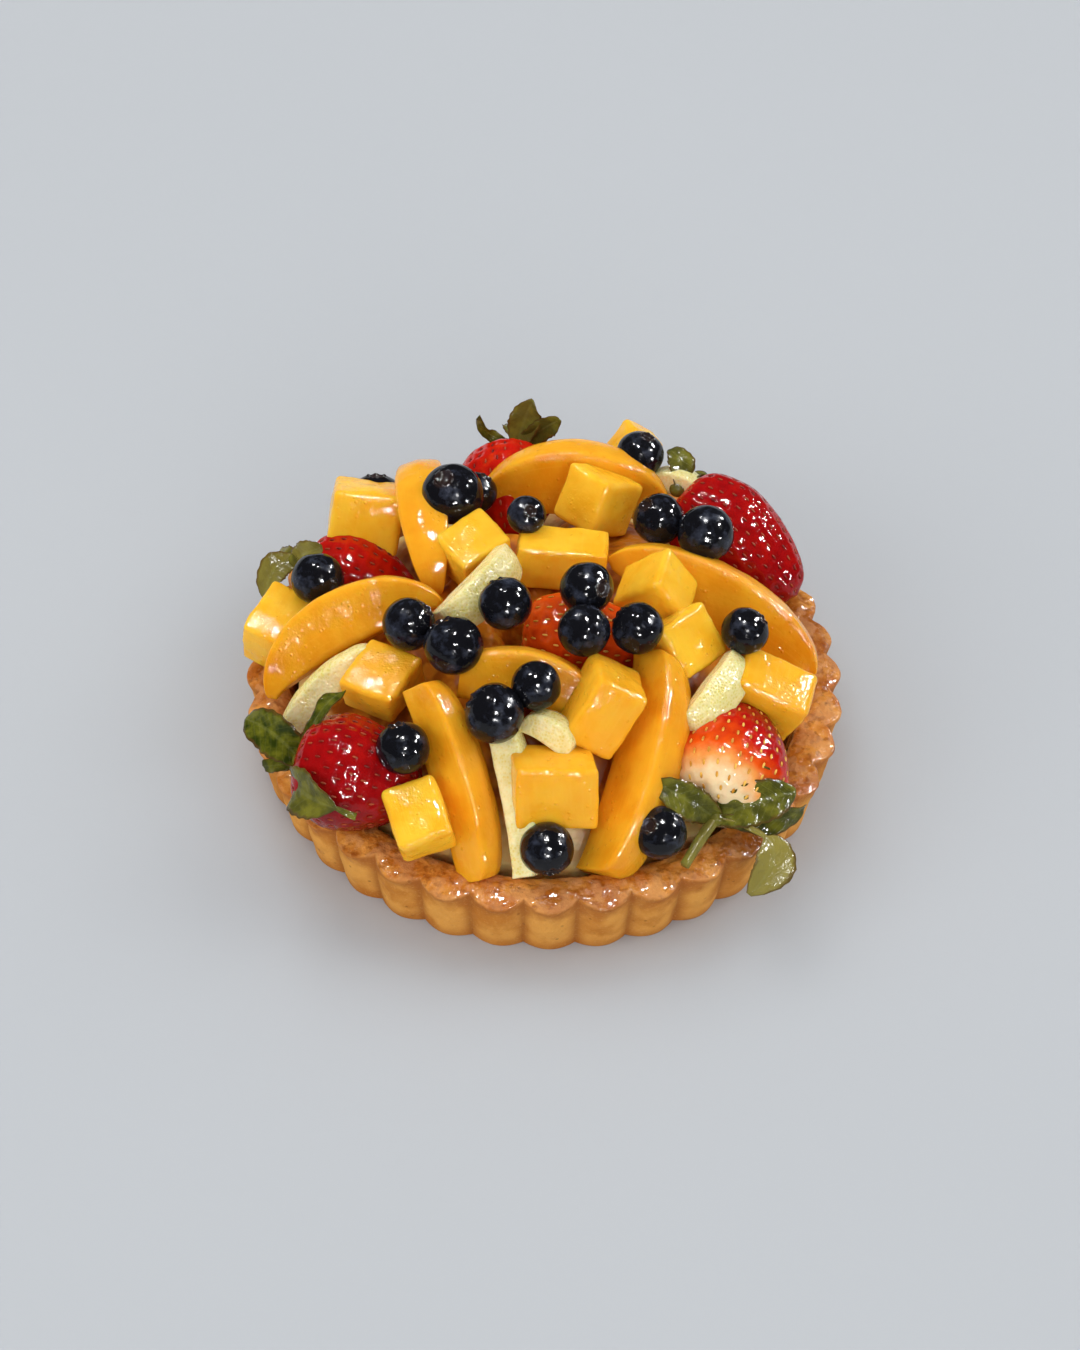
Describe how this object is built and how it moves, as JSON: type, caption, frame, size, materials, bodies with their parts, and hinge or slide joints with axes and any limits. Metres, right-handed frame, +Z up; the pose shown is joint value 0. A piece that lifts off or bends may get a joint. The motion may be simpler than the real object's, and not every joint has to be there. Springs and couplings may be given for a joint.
{
  "type": "fruit tart",
  "caption": "Round fluted pastry case filled with cream and heaped with cut fruit, whole berries and their leaves.",
  "frame": {"origin": "middle of the pastry case's flat underside, where it rests", "axes": "+Z up out of the filling; -Y is the side the picture looks at, +X to its right"},
  "size_m": [0.1844, 0.1895, 0.0763],
  "materials": {
    "pastry": "baked shortcrust, browner and glazed at the rim",
    "cream": "soft pastry cream under clear glaze",
    "blueberry": "dark skin under clear glaze",
    "mango": "cut ripe mango under clear glaze",
    "peach": "cut peach under clear glaze",
    "melon": "pale green melon under clear glaze",
    "strawberry": "whole ripe strawberry under clear glaze",
    "leaf": "fresh strawberry leaves, slightly shiny"
  },
  "bodies": {
    "root": {"tart_case": "pastry", "pastry_cream": "cream", "blueberry_01": "blueberry", "blueberry_02": "blueberry", "blueberry_03": "blueberry", "blueberry_04": "blueberry", "blueberry_05": "blueberry", "blueberry_06": "blueberry", "blueberry_07": "blueberry", "blueberry_08": "blueberry", "blueberry_09": "blueberry", "blueberry_10": "blueberry", "blueberry_11": "blueberry", "blueberry_12": "blueberry", "blueberry_13": "blueberry", "blueberry_14": "blueberry", "blueberry_15": "blueberry", "blueberry_16": "blueberry", "blueberry_17": "blueberry", "blueberry_18": "blueberry", "blueberry_19": "blueberry", "blueberry_20": "blueberry", "mango_cube_01": "mango", "mango_cube_02": "mango", "mango_cube_03": "mango", "mango_cube_04": "mango", "mango_cube_05": "mango", "mango_cube_06": "mango", "mango_cube_07": "mango", "mango_cube_08": "mango", "mango_cube_09": "mango", "mango_cube_10": "mango", "mango_cube_11": "mango", "mango_cube_12": "mango", "mango_cube_13": "mango", "peach_slice_1": "peach", "peach_slice_2": "peach", "peach_slice_3": "peach", "peach_slice_4": "peach", "peach_slice_5": "peach", "peach_slice_6": "peach", "peach_slice_7": "peach", "melon_strip_1": "melon", "melon_strip_2": "melon", "melon_strip_3": "melon", "melon_strip_4": "melon", "melon_strip_5": "melon", "melon_strip_6": "melon", "strawberry_1": "strawberry", "strawberry_2": "strawberry", "strawberry_3": "strawberry", "strawberry_4": "strawberry", "strawberry_5": "strawberry", "strawberry_6": "strawberry", "calyx_1": "leaf", "calyx_2": "leaf", "calyx_3": "leaf", "calyx_4": "leaf", "calyx_5": "leaf"}
  },
  "joints": []
}
